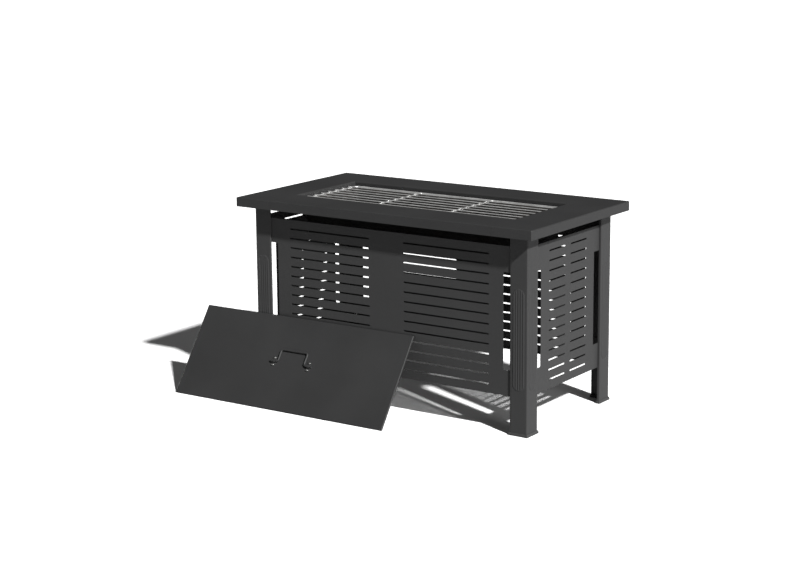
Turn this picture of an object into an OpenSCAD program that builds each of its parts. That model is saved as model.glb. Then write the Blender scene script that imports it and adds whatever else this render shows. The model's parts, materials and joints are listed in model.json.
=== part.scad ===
// Rectangular fire-pit table: a sheet-metal table on four angle legs with slotted
// side panels, a lift-out fire bowl, a wire grate and a loose lid that leans on its front.
// Millimetres, +Z up. The origin is on the ground, at the middle of the rectangle
// that the table and the leaning lid cover together.

/* [Tabletop] */
// Length of the tabletop, left to right
top_l = 1067; // [1040:1:1120]
// Depth of the tabletop, front to back
top_w = 578; // [560:1:620]
// Height of the tabletop's surface above the ground
top_h = 620; // [610:1:680]
// Height of the skirt around the tabletop's outer edge
skirt_h = 29; // [24:1:34]
// Half the distance between the two seams across the tabletop
seam_x = 399; // [398:0.5:400]
// Length of the opening in the tabletop
opening_l = 793; // [790:0.5:795]
// Depth of the opening in the tabletop
opening_w = 307; // [300:0.5:310]
// Radius where the tabletop turns down into the opening
lip_r = 5; // [3:0.5:6]
// Depth from the tabletop's surface to the ledge inside the opening
ledge_drop = 20.5; // [18:0.5:24]
// Width of the ledge inside the opening
ledge_w = 12; // [9:0.5:14]
// Thickness of the tabletop's and legs' sheet
sheet = 2; // [1.5:0.1:2.2]

/* [Legs] */
// Distance from the tabletop's end to the leg's outer face
overhang_x = 39; // [30:1:45]
// Distance from the tabletop's front or back to the leg's outer face
overhang_y = 44.5; // [35:0.5:50]
// Width of each of a leg's two flanges
leg_w = 59; // [55:1:70]
// Depth of the turned-in lip on a leg's front or back flange, from the leg's face
leg_lip = 4.5; // [4.5:0.1:6]
// Depth of the turned-in lip on a leg's end flange, from the leg's face
end_lip = 8; // [4.5:0.5:9]
// Radius of the leg's outer corner
leg_r = 3; // [2.5:0.5:5]
// Height of the lower end of the pressed field on each flange
field_z = 135; // [120:1:160]
// Height of the pressed field
field_h = 302; // [240:1:320]
// Width of the pressed field
field_w = 40; // [38:1:44]
// Number of raised ribs on the pressed field
rib_n = 5; // [3:1:5]

/* [Slotted panels] */
// Thickness of the slotted panels
panel_t = 1.5; // [1.2:0.1:2]
// Height of the panels' lower edge above the ground
panel_z = 114.5; // [100:0.5:130]
// Height of the panels
panel_h = 442.5; // [430:0.5:450]
// Height of the ears that reach behind the legs
ear_h = 77; // [60:1:90]
// Width of the open gap between a leg and the panel beside it
gap_w = 25; // [15:1:30]
// Number of slot rows on each panel
slot_rows = 14; // [8:1:14]
// Distance between slot rows
slot_pitch = 29.7; // [28:0.1:31]
// Height of a slot
slot_h = 5; // [4:0.5:7]
// Length of a slot in the front and back panels
slot_l = 300; // [240:5:310]
// Length of a slot in the end panels
slot_w = 95; // [70:1:98]
// Distance between the two columns of slots in the front and back panels
bridge_l = 124; // [100:1:140]
// Distance between the two columns of slots in the end panels
bridge_w = 30; // [20:1:40]

/* [Fire bowl and grate] */
// Depth of the fire bowl below its flange
bowl_d = 104; // [80:1:120]
// How far the bowl's walls lean in from top to bottom
bowl_draft = 4; // [2:1:20]
// Thickness of the bowl's sheet
bowl_t = 1.5; // [1.2:0.1:2]
// Diameter of the grate's frame wire
frame_wire = 6; // [5:0.5:7]
// Diameter of the grate's rods
rod_wire = 4; // [3:0.5:5]
// Number of rods between the two long sides of the grate
rod_n = 7; // [5:1:11]
// Radius of the grate's corners
grate_r = 12; // [8:1:20]

/* [Lid] */
// Length of the lid
lid_l = 790; // [780:1:790]
// Depth of the lid
lid_w = 304; // [290:1:304]
// Height of the lid's rim
lid_h = 5; // [4:0.5:8]
// Angle between the leaning lid and the ground
lean = 55; // [45:1:65]
// Angle between the leaning lid's lower edge and the table's front
turn = 0.6; // [0.6:0.05:0.8]
// Distance from the table's middle to the leaning lid's middle, to the left
lid_shift = 292; // [250:1:310]
// Distance between the outer ends of the lid's handle
handle_l = 156; // [140:1:180]
// Distance from the handle's pivot to its grip
handle_reach = 40.5; // [30:0.5:50]
// Diameter of the handle's wire
handle_wire = 6; // [5:0.5:7]

/* [Hidden] */
$fn = 48;

left = -1;
right = 1;
front = -1;
back = 1;
eps = 0.01;
seam_gap = 0.5;         // width of the line between two tabletop pieces
rest_gap = 0.3;         // clearance under a piece that lifts away
coat = "#3b3b3c";
bright = "#b9bbbd";
zinc = "#9a9c9f";
plastic = "#303031";
burnt = "#242323";

// Tabletop
deck_r = 3;                                   // rounding of the deck's outer edges
deck_under = top_h - sheet;                   // height of the deck's underside
half_l = top_l / 2;
half_w = top_w / 2;
open_x = opening_l / 2;
open_y = opening_w / 2;
ledge_z = top_h - ledge_drop;                 // height of the ledge's upper face

// Legs
leg_x = half_l - overhang_x;                  // outer face of the legs, end side
leg_y = half_w - overhang_y;                  // outer face of the legs, front or back side
cap_base = 3;                                 // cap thickness under a leg
cap_h = 9;
cap_flare = 3;                                // how far a cap stands out beyond the leg
cap_slope = 1.8;                              // how far a cap draws in towards its top
cap_fit = 0.1;                                // clearance between a cap and its leg
field_t = 0.8;                                // how far the pressed field stands out
field_r = field_w / 2 - eps;                  // the pressed field's ends are half circles
rib_r = 1.7;                                  // half round section of a rib, kept within the sheet
rib_t = 0.7;                                  // how far a rib stands out from the field
rib_pitch = 8;
rib_end = 4;                                  // distance from a rib's end to the field's edge
tab_w = 41;                                   // side of the tab on top of a leg
stud_inset = 13;                              // from a tab's edge to its stud

// Fasteners
stud_r = 2.5;
stud_l = 12;
hole_play = 0.3;
thread_play = 0.05;
nut_r = 4.6;                                  // across corners / 2
nut_h = 4;
plate_l = 60;
plate_w = 90;
plate_t = 2;
plate_r = 5;
plate_stud_x = 15;
plate_stud_y = 30;
screw_r = 3;
screw_head_r = 5.5;
screw_head_h = 3.5;
weld_nut_r = 5.7;

// Slotted panels
panel_x = leg_x - end_lip;                    // outer face of the end panels
panel_y = leg_y - leg_lip;                    // outer face of the front and back panels
gap_more = 5;                                 // extra width of the gaps beside the end panels
body_x = leg_x - leg_w - gap_w;               // half length of the front panel between its ears
body_y = leg_y - leg_w - gap_w - gap_more;    // half depth of the end panel between its ears
ear_inset = 8.5;                              // from a leg's outer face to the end of an ear
ear_x = leg_x - ear_inset;                    // how far the front panel's ears reach
ear_y = leg_y - ear_inset;                    // how far the end panel's ears reach
notch_h = panel_h - 2 * ear_h;
notch_r = 3;
top_row = 28.5;                               // from a panel's upper edge to its first slots
fold_w = 10;                                  // depth of the folds along a panel's edges
screw_x = leg_x - leg_w / 2;                  // screw line on the front and back flanges
screw_y = leg_y - leg_w / 2;                  // screw line on the end flanges
screw_z = [panel_z + ear_h / 2, panel_z + panel_h - ear_h / 2];

// Fire bowl and grate
flange_z = ledge_z + rest_gap;
flange_play = 2;                              // clearance around the bowl's flange
flange_x = open_x - flange_play;
flange_y = open_y - flange_play;
bowl_x = open_x - ledge_w - flange_play;      // half length of the bowl under its flange
bowl_y = open_y - ledge_w - flange_play;
bowl_r = 14;                                  // corner radius of the bowl
flange_r = 6;                                 // corner radius of the bowl's flange
grate_play = 6.5;                             // clearance between grate and opening
grate_x = open_x - grate_play;
grate_y = open_y - grate_play + 1;
frame_z = flange_z + bowl_t + rest_gap + frame_wire / 2;
weld_sink = 0.4;                              // how deep a rod is welded into the frame
rod_z = frame_z + frame_wire / 2 + rod_wire / 2 - weld_sink;
rod_over = 1.5;                               // how far a rod passes the frame's end wire
brace_x = 132;                                // place of the grate's two cross wires

// Lid, in its own frame: X along its length, Y up its slope, Z out of its upper face
lid_t = 2;
lid_r = 2;
lid_contact = 0.6;                            // space between the lid's edge and the front panel
lid_y = -panel_y - lid_contact - lid_l / 2 * sin(turn)
        - (lid_w * cos(lean) + lid_h * sin(lean)) * cos(turn);
lid_z = lid_h * cos(lean);
pivot_rise = 1.5;                             // from the lid's middle up to the handle's pivot
pivot_y = lid_w / 2 + pivot_rise;             // place of the handle's pivot on the lid
pivot_h = handle_wire / 2 + 1;                // height of the handle's pivot over the lid
pivot_play = 0.08;
arm_x = 50;                                   // half the distance between the handle's arms
elbow_r = 8;
grip_r = 7;
clip_x = 66;
clip_w = 14;
clip_t = 1.5;
clip_foot = 15;
clip_screw = 11.3;                            // from the handle's pivot to a clip's screw
clip_screw_r = 2;
clip_head_r = 3.4;
clip_head_h = 2;

// Middle of the ground rectangle that the table and the lid cover
reach_left = lid_shift + lid_l / 2 * cos(turn)
             + (lid_w * cos(lean) + lid_h * sin(lean)) * sin(turn);
reach_front = -lid_y + lid_l / 2 * sin(turn);
table_x = (reach_left - half_l) / 2;
table_y = (reach_front - half_w) / 2;

// ---- placing -----------------------------------------------------------------

module at_table() translate([table_x, table_y, 0]) children();

module at_lid()
  at_table()
    translate([-lid_shift, lid_y, lid_z])
      rotate([0, 0, turn])
        rotate([lean, 0, 0])
          children();

// Draws a piece that is modelled in the back right quarter in the quarter named
module in_quarter(side_x, side_y)
  at_table()
    mirror([side_x < 0 ? 1 : 0, 0, 0])
      mirror([0, side_y < 0 ? 1 : 0, 0])
        children();

// ---- shared shapes -----------------------------------------------------------

// Box centred on the Z axis, from a low height to a high one
module slab(l, w, low, high)
  translate([-l / 2, -w / 2, low])
    cube([l, w, high - low]);

// Rectangle with round corners, centred
module round_rect(l, w, r) {
  square([l - 2 * r, w], center = true);
  square([l, w - 2 * r], center = true);
  for (x = [-1, 1], y = [-1, 1])
    translate([x * (l / 2 - r), y * (w / 2 - r)])
      circle(r);
}

// Block on Z = 0 with round upright edges and round upper edges
module soft_block(l, w, h, r) {
  linear_extrude(h - r)
    round_rect(l, w, r);
  slab(l - 2 * r, w - 2 * r, h - r - eps, h);
  for (y = [-1, 1])
    translate([0, y * (w / 2 - r), h - r])
      rotate([0, 90, 0])
        cylinder(h = l - 2 * r, r = r, center = true);
  for (x = [-1, 1])
    translate([x * (l / 2 - r), 0, h - r])
      rotate([90, 0, 0])
        cylinder(h = w - 2 * r, r = r, center = true);
  for (x = [-1, 1], y = [-1, 1])
    translate([x * (l / 2 - r), y * (w / 2 - r), h - r])
      sphere(r);
}

// Quarter of a ring: the section of a bend in sheet of thickness t, outside radius r
module bend(r, t)
  intersection() {
    difference() {
      circle(r);
      circle(r - t);
    }
    square(r);
  }

// Hexagon nut on Z = 0, around a shank of radius r
module nut(corner_r, h, r)
  difference() {
    cylinder(h = h, r = corner_r, $fn = 6);
    translate([0, 0, -1])
      cylinder(h = h + 2, r = r);
  }

// Screw along Z with its head on Z = 0 and above, and a cross recess in the head
module screw(shank_r, shank_l, head_r, head_h) {
  dome_r = (head_r * head_r + head_h * head_h) / (2 * head_h);
  recess_w = head_r / 4;
  translate([0, 0, -shank_l])
    cylinder(h = shank_l + eps, r = shank_r);
  difference() {
    intersection() {
      cylinder(h = head_h, r = head_r);
      translate([0, 0, head_h - dome_r])
        sphere(dome_r);
    }
    for (a = [0, 90])
      rotate([0, 0, a])
        slab(head_r * 1.1, recess_w, head_h / 2, head_h + 1);
  }
}

// ---- tabletop ----------------------------------------------------------------

// Section of the turned-down edge of the opening: X away from the opening, Y is height
module lip_section() {
  translate([lip_r, top_h - lip_r])
    mirror([1, 0])
      bend(lip_r, sheet);
  translate([0, ledge_z - sheet])
    square([sheet, top_h - lip_r - ledge_z + sheet + eps]);
  translate([-ledge_w, ledge_z - sheet])
    square([ledge_w + sheet, sheet]);
}

// The deck's skin and skirt as one shell, with the opening's flat edge cut out
module deck_shell()
  difference() {
    translate([0, 0, top_h - skirt_h])
      soft_block(top_l, top_w, skirt_h, deck_r);
    translate([0, 0, top_h - skirt_h - eps])
      soft_block(top_l - 2 * sheet, top_w - 2 * sheet, skirt_h - sheet + eps, deck_r - sheet);
    slab(opening_l + 2 * lip_r, opening_w + 2 * lip_r, top_h - 2 * skirt_h, top_h + 1);
  }

// Tabletop piece beside the opening, at the back; the front one is its mirror image
module tabletop_side(side) {
  side_x = seam_x - seam_gap / 2;
  color(coat)
    in_quarter(right, side) {
      intersection() {
        deck_shell();
        translate([-side_x, 0, 0])
          cube([2 * side_x, half_w + 1, top_h + 1]);
      }
      translate([-open_x, open_y, 0])
        rotate([90, 0, 90])
          linear_extrude(opening_l)
            lip_section();
    }
}

// Tabletop piece across the table's right end; the left one is its mirror image
module tabletop_end(side) {
  end_x = seam_x + seam_gap / 2;
  lip_l = opening_w - seam_gap;
  land_x = open_x + lip_r - end_x;
  color(coat)
    in_quarter(side, back) {
      intersection() {
        deck_shell();
        translate([end_x, -half_w - 1, 0])
          cube([half_l, top_w + 2, top_h + 1]);
      }
      // Small lands that close the opening's two corners
      for (y = [-1, 1])
        translate([end_x, y * (open_y + lip_r / 2) - lip_r / 2, deck_under])
          cube([land_x, lip_r, sheet]);
      difference() {
        translate([open_x + seam_gap / 2, lip_l / 2, 0])
          rotate([90, 0, 0])
            linear_extrude(lip_l)
              lip_section();
        // The ledges of the front and back pieces pass under the lip's ends
        for (y = [-1, 1])
          translate([0, y * open_y, ledge_z - sheet / 2])
            cube([2 * (open_x + eps), 2 * ledge_w + seam_gap, 2 * sheet], center = true);
      }
    }
}

module stud_place_plate()
  for (x = [-1, 1], y = [-1, 1])
    translate([seam_x + x * plate_stud_x, (half_w + open_y) / 2 + y * plate_stud_y, 0])
      children();

module stud_place_leg()
  for (i = [0, 1])
    translate([
      leg_x - sheet - (i == 0 ? stud_inset : tab_w - stud_inset),
      leg_y - sheet - (i == 0 ? tab_w - stud_inset : stud_inset),
      0
    ])
      children();

// Flat plate that joins two tabletop pieces from below
module seam_plate(side_x, side_y)
  color(coat)
    in_quarter(side_x, side_y)
      difference() {
        translate([seam_x, (half_w + open_y) / 2, deck_under - plate_t])
          linear_extrude(plate_t)
            round_rect(plate_l, plate_w, plate_r);
        stud_place_plate()
          translate([0, 0, deck_under - plate_t - 1])
            cylinder(h = plate_t + 2, r = stud_r + hole_play);
      }

// Threaded studs welded to the tabletop's underside
module weld_studs()
  color(zinc)
    for (sx = [left, right], sy = [front, back])
      in_quarter(sx, sy)
        translate([0, 0, deck_under - stud_l]) {
          stud_place_plate()
            cylinder(h = stud_l, r = stud_r);
          stud_place_leg()
            cylinder(h = stud_l, r = stud_r);
        }

module stud_nuts()
  color(zinc)
    for (sx = [left, right], sy = [front, back])
      in_quarter(sx, sy) {
        translate([0, 0, deck_under - plate_t - nut_h])
          stud_place_plate()
            nut(nut_r, nut_h, stud_r + thread_play);
        translate([0, 0, deck_under - sheet - nut_h])
          stud_place_leg()
            nut(nut_r, nut_h, stud_r + thread_play);
      }

// ---- legs --------------------------------------------------------------------

// Section of the back right leg: an angle with turned-in lips, open to the inside
module leg_section() {
  bend_x = leg_x - leg_r;
  bend_y = leg_y - leg_r;
  translate([bend_x, bend_y])
    bend(leg_r, sheet);
  translate([leg_x - leg_w, leg_y - sheet])
    square([leg_w - leg_r + eps, sheet]);
  translate([leg_x - sheet, leg_y - leg_w])
    square([sheet, leg_w - leg_r + eps]);
  translate([leg_x - leg_w, leg_y - leg_lip])
    square([sheet, leg_lip]);
  translate([leg_x - end_lip, leg_y - leg_w])
    square([end_lip, sheet]);
}

// Raised field with ribs, standing on the XZ plane and facing +Y, centred on X
module pressed_field() {
  translate([0, -eps, field_z + field_h / 2])
    rotate([-90, 0, 0])
      linear_extrude(field_t + eps)
        round_rect(field_w, field_h, field_r);
  for (i = [0 : rib_n - 1]) {
    x = (i - (rib_n - 1) / 2) * rib_pitch;
    // Half length of the rib, which stops short of the field's round end
    reach = field_h / 2 - field_r + sqrt(field_r * field_r - x * x) - rib_end;
    translate([x, field_t + rib_t - rib_r, field_z + field_h / 2]) {
      cylinder(h = 2 * reach, r = rib_r, center = true);
      for (z = [-1, 1])
        translate([0, 0, z * reach])
          sphere(rib_r);
    }
  }
}

module leg(side_x, side_y)
  color(coat)
    in_quarter(side_x, side_y) {
      translate([0, 0, cap_base])
        linear_extrude(deck_under - cap_base)
          leg_section();
      translate([leg_x - leg_w / 2, leg_y, 0])
        pressed_field();
      translate([leg_x, leg_y - leg_w / 2, 0])
        rotate([0, 0, -90])
          pressed_field();
      // Tab that is held to the tabletop's underside
      difference() {
        translate([leg_x - sheet - tab_w, leg_y - sheet - tab_w, deck_under - sheet])
          cube([tab_w + eps, tab_w + eps, sheet]);
        stud_place_leg()
          translate([0, 0, deck_under - sheet - 1])
            cylinder(h = sheet + 2, r = stud_r + hole_play);
      }
    }

// One arm of a foot cap: a bar along X with all its sides sloping in at the top
module cap_arm(l, w) {
  top_in = 2 * cap_slope;
  hull() {
    slab(l, w, 0, cap_h / 2);
    slab(l - top_in, w - top_in, cap_h - eps, cap_h);
  }
}

module foot_cap(side_x, side_y) {
  arm_l = leg_w + 2 * cap_flare;
  arm_w = leg_lip + 2 * cap_flare;
  end_w = end_lip + 2 * cap_flare;
  color(plastic)
    in_quarter(side_x, side_y)
      difference() {
        union() {
          translate([leg_x + cap_flare - arm_l / 2, leg_y + cap_flare - arm_w / 2, 0])
            cap_arm(arm_l, arm_w);
          translate([leg_x + cap_flare - end_w / 2, leg_y + cap_flare - arm_l / 2, 0])
            cap_arm(end_w, arm_l);
        }
        // Pocket for the leg's lower end
        translate([leg_x - leg_w - cap_fit, leg_y - leg_lip - cap_fit, cap_base])
          cube([leg_w + 2 * cap_fit, leg_lip + 2 * cap_fit, cap_h]);
        translate([leg_x - end_lip - cap_fit, leg_y - leg_w - cap_fit, cap_base])
          cube([end_lip + 2 * cap_fit, leg_w + 2 * cap_fit, cap_h]);
      }
}

// ---- slotted panels ----------------------------------------------------------

// Outline of a panel, standing up: X along it, Y is height. body is the half length
// between the ears, reach the half length with them.
module panel_outline(body, reach, slot, bridge) {
  difference() {
    translate([-reach, panel_z])
      square([2 * reach, panel_h]);
    for (x = [-1, 1])
      translate([x * (body + reach) / 2, panel_z + panel_h / 2]) {
        round_rect(reach - body, notch_h, notch_r);
        translate([x * notch_r, 0])
          square([reach - body, notch_h], center = true);
      }
    for (x = [-1, 1], row = [0 : slot_rows - 1])
      translate([x * (bridge + slot) / 2, panel_z + panel_h - top_row - row * slot_pitch])
        round_rect(slot, slot_h, slot_h / 2 - eps);
    for (x = [-1, 1], z = screw_z)
      translate([x * (reach + ear_inset - leg_w / 2), z])
        circle(screw_r + hole_play);
  }
}

// Panel whose outer face looks towards +Y from the plane Y = 0
module panel_sheet(body, reach, slot, bridge) {
  rotate([90, 0, 0])
    linear_extrude(panel_t)
      panel_outline(body, reach, slot, bridge);
  for (z = [panel_z, panel_z + panel_h - panel_t])
    translate([-body, -fold_w, z])
      cube([2 * body, fold_w - eps, panel_t]);
}

module panel_long(side)
  color(coat)
    in_quarter(right, side)
      translate([0, panel_y, 0])
        panel_sheet(body_x, ear_x, slot_l, bridge_l);

module panel_end(side)
  color(coat)
    in_quarter(side, back)
      translate([panel_x, 0, 0])
        rotate([0, 0, -90])
          panel_sheet(body_y, ear_y, slot_w, bridge_w);

// Places a fastener on a screw line of the back right leg, on its back flange or its end
// flange, with +Z pointing inwards from the flange's inner face
module screw_places(on_end)
  for (z = screw_z)
    if (on_end)
      translate([leg_x - sheet, screw_y, z])
        rotate([0, -90, 0])
          children();
    else
      translate([screw_x, leg_y - sheet, z])
        rotate([90, 0, 0])
          children();

// Space between a flange's inner face and the panel's ear behind it
function ear_space(on_end) = (on_end ? end_lip : leg_lip) - sheet;

module leg_weld_nuts()
  color(zinc)
    for (sx = [left, right], sy = [front, back], on_end = [false, true])
      in_quarter(sx, sy)
        screw_places(on_end)
          nut(weld_nut_r, ear_space(on_end), screw_r + thread_play);

module panel_screws() {
  tip_gap = 0.2;
  color(zinc)
    for (sx = [left, right], sy = [front, back], on_end = [false, true]) {
      head_z = ear_space(on_end) + panel_t;
      in_quarter(sx, sy)
        screw_places(on_end)
          translate([0, 0, head_z])
            screw(screw_r, head_z - tip_gap, screw_head_r, screw_head_h);
    }
}

// ---- fire bowl and grate -----------------------------------------------------

// Tapering block between two heights, with round corners
module tapered_block(top_x, top_y, draft, low, high, r)
  hull() {
    translate([0, 0, high - eps])
      linear_extrude(eps)
        round_rect(2 * top_x, 2 * top_y, r, $fn = 32);
    translate([0, 0, low])
      linear_extrude(eps)
        round_rect(2 * (top_x - draft), 2 * (top_y - draft), r, $fn = 32);
  }

module fire_bowl() {
  bottom_z = flange_z - bowl_d;
  color(burnt)
    at_table()
      difference() {
        union() {
          translate([0, 0, flange_z])
            linear_extrude(bowl_t)
              round_rect(2 * flange_x, 2 * flange_y, flange_r);
          tapered_block(bowl_x, bowl_y, bowl_draft, bottom_z, flange_z + eps, bowl_r);
        }
        tapered_block(bowl_x - bowl_t, bowl_y - bowl_t, bowl_draft, bottom_z + bowl_t,
                      flange_z + bowl_t + 1, bowl_r - bowl_t);
      }
}

module wire_corner(r, wire)
  rotate_extrude(angle = 90)
    translate([r, 0])
      circle(wire / 2);

module grate_frame() {
  mid_x = grate_x - frame_wire / 2;
  mid_y = grate_y - frame_wire / 2;
  color(bright)
    at_table()
      translate([0, 0, frame_z]) {
        for (y = [-1, 1])
          translate([0, y * mid_y, 0])
            rotate([0, 90, 0])
              cylinder(h = 2 * (mid_x - grate_r), d = frame_wire, center = true);
        for (x = [-1, 1])
          translate([x * mid_x, 0, 0])
            rotate([90, 0, 0])
              cylinder(h = 2 * (mid_y - grate_r), d = frame_wire, center = true);
        for (x = [0, 1], y = [0, 1])
          mirror([x, 0, 0])
            mirror([0, y, 0])
              translate([mid_x - grate_r, mid_y - grate_r, 0])
                wire_corner(grate_r, frame_wire);
        for (x = [-1, 1])
          translate([x * brace_x, 0, 0])
            rotate([90, 0, 0])
              cylinder(h = 2 * mid_y, d = frame_wire - 1, center = true);
      }
}

module grate_rods() {
  pitch = 2 * (grate_y - frame_wire / 2) / (rod_n + 1);
  color(bright)
    at_table()
      for (i = [0 : rod_n - 1])
        translate([0, (i - (rod_n - 1) / 2) * pitch, rod_z])
          rotate([0, 90, 0])
            cylinder(h = 2 * (grate_x + rod_over), d = rod_wire, center = true);
}

// ---- lid ---------------------------------------------------------------------

module clip_screw_places(side)
  for (y = [-1, 1])
    translate([side * clip_x, pivot_y + y * clip_screw, 0])
      children();

module lid_plate()
  color(coat)
    at_lid()
      difference() {
        translate([0, lid_w / 2, -lid_h])
          soft_block(lid_l, lid_w, lid_h, lid_r);
        translate([0, lid_w / 2, -lid_h - eps])
          linear_extrude(lid_h - lid_t + eps)
            round_rect(lid_l - 2 * lid_t, lid_w - 2 * lid_t, 1);
        for (side = [left, right])
          clip_screw_places(side)
            translate([0, 0, -lid_h])
              cylinder(h = lid_h + 1, r = clip_screw_r + hole_play);
      }

// Section of a saddle clip across the handle's wire: X up the slope, Y off the lid
module clip_section() {
  bore_r = handle_wire / 2 + pivot_play;
  hump_r = bore_r + clip_t;
  difference() {
    union() {
      translate([0, pivot_h])
        circle(hump_r);
      translate([-hump_r, 0])
        square([2 * hump_r, pivot_h]);
      translate([-clip_foot, 0])
        square([2 * clip_foot, clip_t]);
    }
    translate([0, pivot_h])
      circle(bore_r);
    translate([-bore_r, -1])
      square([2 * bore_r, pivot_h + 1]);
  }
}

module handle_clip(side)
  color(coat)
    at_lid()
      difference() {
        translate([side * clip_x - clip_w / 2, pivot_y, 0])
          rotate([90, 0, 90])
            linear_extrude(clip_w)
              clip_section();
        clip_screw_places(side)
          translate([0, 0, -1])
            cylinder(h = clip_t + 2, r = clip_screw_r + hole_play);
      }

module clip_screws()
  color(bright)
    at_lid()
      for (side = [left, right])
        clip_screw_places(side)
          translate([0, 0, clip_t])
            screw(clip_screw_r, clip_t + lid_t + nut_h, clip_head_r, clip_head_h);

module clip_nuts()
  color(zinc)
    at_lid()
      for (side = [left, right])
        clip_screw_places(side)
          translate([0, 0, -lid_t - nut_h])
            nut(nut_r, nut_h, clip_screw_r + thread_play);

// Wire handle, lying up the slope of the lid
module lid_handle() {
  end_l = handle_l / 2 - arm_x - elbow_r;
  grip_y = handle_reach;
  color(coat)
    at_lid()
      translate([0, pivot_y, pivot_h]) {
        for (x = [0, 1])
          mirror([x, 0, 0]) {
            translate([arm_x + elbow_r, 0, 0])
              rotate([0, 90, 0])
                cylinder(h = end_l, d = handle_wire);
            translate([arm_x + elbow_r, elbow_r, 0])
              rotate([0, 0, 180])
                wire_corner(elbow_r, handle_wire);
            translate([arm_x, elbow_r, 0])
              rotate([-90, 0, 0])
                cylinder(h = grip_y - grip_r - elbow_r, d = handle_wire);
            translate([arm_x - grip_r, grip_y - grip_r, 0])
              wire_corner(grip_r, handle_wire);
          }
        translate([0, grip_y, 0])
          rotate([0, 90, 0])
            cylinder(h = 2 * (arm_x - grip_r), d = handle_wire, center = true);
      }
}

tabletop_end(left);  // tabletop_end_left
tabletop_end(right);  // tabletop_end_right
tabletop_side(front);  // tabletop_front
tabletop_side(back);  // tabletop_back
seam_plate(left, front);  // seam_plate_front_left
seam_plate(right, front);  // seam_plate_front_right
seam_plate(left, back);  // seam_plate_back_left
seam_plate(right, back);  // seam_plate_back_right
weld_studs();
stud_nuts();
leg(left, front);  // leg_front_left
leg(right, front);  // leg_front_right
leg(left, back);  // leg_back_left
leg(right, back);  // leg_back_right
foot_cap(left, front);  // foot_cap_front_left
foot_cap(right, front);  // foot_cap_front_right
foot_cap(left, back);  // foot_cap_back_left
foot_cap(right, back);  // foot_cap_back_right
panel_long(front);  // panel_front
panel_long(back);  // panel_back
panel_end(left);  // panel_left
panel_end(right);  // panel_right
leg_weld_nuts();
panel_screws();
fire_bowl();
grate_frame();
grate_rods();
lid_plate();
handle_clip(left);  // handle_clip_left
handle_clip(right);  // handle_clip_right
clip_screws();
clip_nuts();
lid_handle();
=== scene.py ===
# Looks of the fire pit with grate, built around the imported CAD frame. Metres, +Z up.
import math

import bmesh
import bpy
from mathutils import Matrix, Vector
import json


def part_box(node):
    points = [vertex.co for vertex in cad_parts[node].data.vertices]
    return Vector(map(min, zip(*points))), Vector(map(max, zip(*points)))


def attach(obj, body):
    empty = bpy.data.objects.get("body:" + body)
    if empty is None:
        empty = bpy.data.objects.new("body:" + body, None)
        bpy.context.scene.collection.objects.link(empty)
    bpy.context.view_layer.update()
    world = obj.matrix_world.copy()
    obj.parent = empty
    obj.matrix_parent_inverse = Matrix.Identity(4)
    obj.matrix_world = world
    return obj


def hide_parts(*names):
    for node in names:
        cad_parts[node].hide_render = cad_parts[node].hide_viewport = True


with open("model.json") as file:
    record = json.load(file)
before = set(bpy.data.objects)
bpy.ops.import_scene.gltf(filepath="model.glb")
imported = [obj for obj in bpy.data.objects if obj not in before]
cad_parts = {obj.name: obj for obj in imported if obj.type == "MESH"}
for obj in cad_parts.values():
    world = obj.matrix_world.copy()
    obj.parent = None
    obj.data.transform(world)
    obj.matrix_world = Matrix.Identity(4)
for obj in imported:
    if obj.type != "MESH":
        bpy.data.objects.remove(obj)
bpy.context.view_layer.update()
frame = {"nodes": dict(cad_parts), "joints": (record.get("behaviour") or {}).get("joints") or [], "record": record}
nodes = frame["nodes"]
joints = {j["name"]: j for j in frame["joints"]}
scene = bpy.context.scene
MM = 0.001

# ---- camera ----------------------------------------------------------------------

top_lo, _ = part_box("tabletop_end_left")
_, top_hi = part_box("tabletop_end_right")
TABLE = Vector(((top_lo.x + top_hi.x) / 2, (top_lo.y + top_hi.y) / 2, 0))

CAM_AZ = math.radians(34.883)
CAM_EL = math.radians(12.186)
CAM_ROLL = math.radians(-0.534)
CAM_DIST = 5.903
CAM_AIM = TABLE + Vector((-0.1152, 0, 0.3489))
CAM_LEFT, CAM_UP = 0.0016, 0.0016
CAM_LENS = 84.77
CAM_SENSOR = 36.0
CAM_NEAR, CAM_FAR = 0.05, 200


def add_camera():
    back = Vector((math.sin(CAM_AZ) * math.cos(CAM_EL),
                   -math.cos(CAM_AZ) * math.cos(CAM_EL),
                   math.sin(CAM_EL)))
    right = Vector((0, 0, 1)).cross(back).normalized()
    up = back.cross(right)
    c, s = math.cos(CAM_ROLL), math.sin(CAM_ROLL)
    x_axis = c * right + s * up
    y_axis = -s * right + c * up
    data = bpy.data.cameras.new("camera")
    data.lens = CAM_LENS
    data.sensor_width = CAM_SENSOR
    data.clip_start, data.clip_end = CAM_NEAR, CAM_FAR
    cam = bpy.data.objects.new("camera", data)
    turn = Matrix((x_axis, y_axis, back)).transposed()
    spot = CAM_AIM - x_axis * CAM_LEFT + y_axis * CAM_UP + back * CAM_DIST
    cam.matrix_world = Matrix.Translation(spot) @ turn.to_4x4()
    scene.collection.objects.link(cam)
    scene.camera = cam


add_camera()

# ---- floor and light -------------------------------------------------------------

scene.view_settings.view_transform = "Standard"
scene.view_settings.look = "None"
SUN_DIR = Vector((-1.14, 0.485, -1.0)).normalized()
SUN_POWER = 11.5
SUN_SIZE = math.radians(2.6)
SUN_AWAY = 4
SKY = 0.04
BACKDROP = 1.0
FILL_SPOT = Vector((5.2, -2.0, 1.0))
FILL_SIZE = (2.6, 2.6)
FILL_POWER = 145
LEFT_SPOT = Vector((-9, 0.6, 0.45))
LEFT_SIZE = (3, 0.8)
LEFT_POWER = 460
BACK_SPOT = Vector((-0.8, 9, 0.45))
BACK_SIZE = (2.4, 0.8)
BACK_POWER = 230
LIGHT_AIM = Vector((0.1, 0, 0.35))
FLOOR_SEEN = 0.62
FLOOR_BOUNCE = 0.40
FLOOR_HALF = 60
WHITE = (1, 1, 1, 1)


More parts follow.
